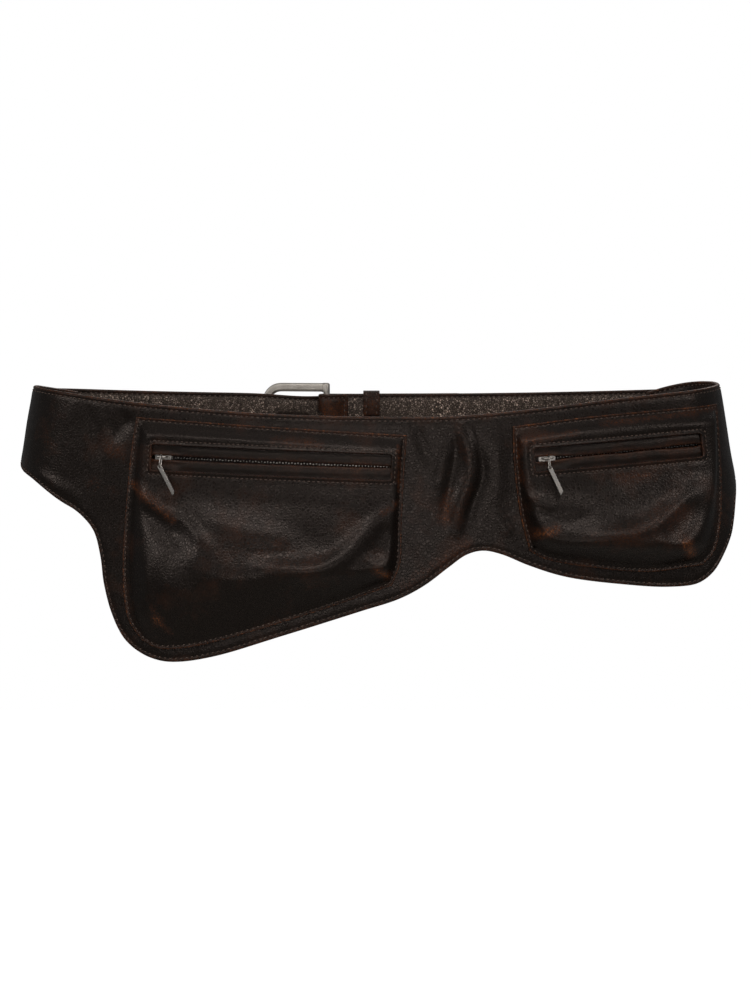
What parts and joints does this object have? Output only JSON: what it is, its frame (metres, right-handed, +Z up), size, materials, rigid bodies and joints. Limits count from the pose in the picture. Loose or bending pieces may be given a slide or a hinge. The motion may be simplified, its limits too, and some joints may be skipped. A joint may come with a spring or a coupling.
{
  "type": "belt bag",
  "caption": "Leather hip belt bag with zipped pockets of unequal size on a scalloped front panel, closed behind by a buckled strap.",
  "frame": {"origin": "centre of the waist hollow, at the level of the top edge over the hips", "axes": "+Z up as worn, +Y towards the wearer's back, +X towards the wearer's left hip"},
  "size_m": [0.3718, 0.1539, 0.1385],
  "materials": {
    "leather": "dark brown grained leather with rubbed edges",
    "welt_leather": "dark brown leather",
    "zip_tape": "woven",
    "zip_metal": "nickel plated",
    "buckle_metal": "antique grey"
  },
  "bodies": {
    "bag": {"body_panel": "leather", "left_pocket": "leather", "right_pocket": "leather", "left_welt_upper": "welt_leather", "left_welt_lower": "welt_leather", "right_welt_upper": "welt_leather", "right_welt_lower": "welt_leather", "left_zip_chain": "zip_tape", "right_zip_chain": "zip_tape", "left_slider": "zip_metal", "right_slider": "zip_metal", "strap_tail": "leather", "strap_buckle_end": "leather", "strap_keeper": "leather", "buckle_frame": "buckle_metal", "buckle_prong": "buckle_metal"},
    "left_puller": {"left_pull_ring": "zip_metal", "left_pull_tab": "zip_metal"},
    "right_puller": {"right_pull_ring": "zip_metal", "right_pull_tab": "zip_metal"}
  },
  "joints": [
    {"name": "left_puller_swing", "type": "hinge", "parent": "bag", "child": "left_puller", "pos_m": [-0.10866, -0.05895, -0.03303], "axis": [-0.9692, 0.244, 0.0339], "range_deg": [0, 150]},
    {"name": "right_puller_swing", "type": "hinge", "parent": "bag", "child": "right_puller", "pos_m": [0.08647, -0.06391, -0.03331], "axis": [-0.9782, -0.1963, -0.0675], "range_deg": [0, 150]}
  ]
}
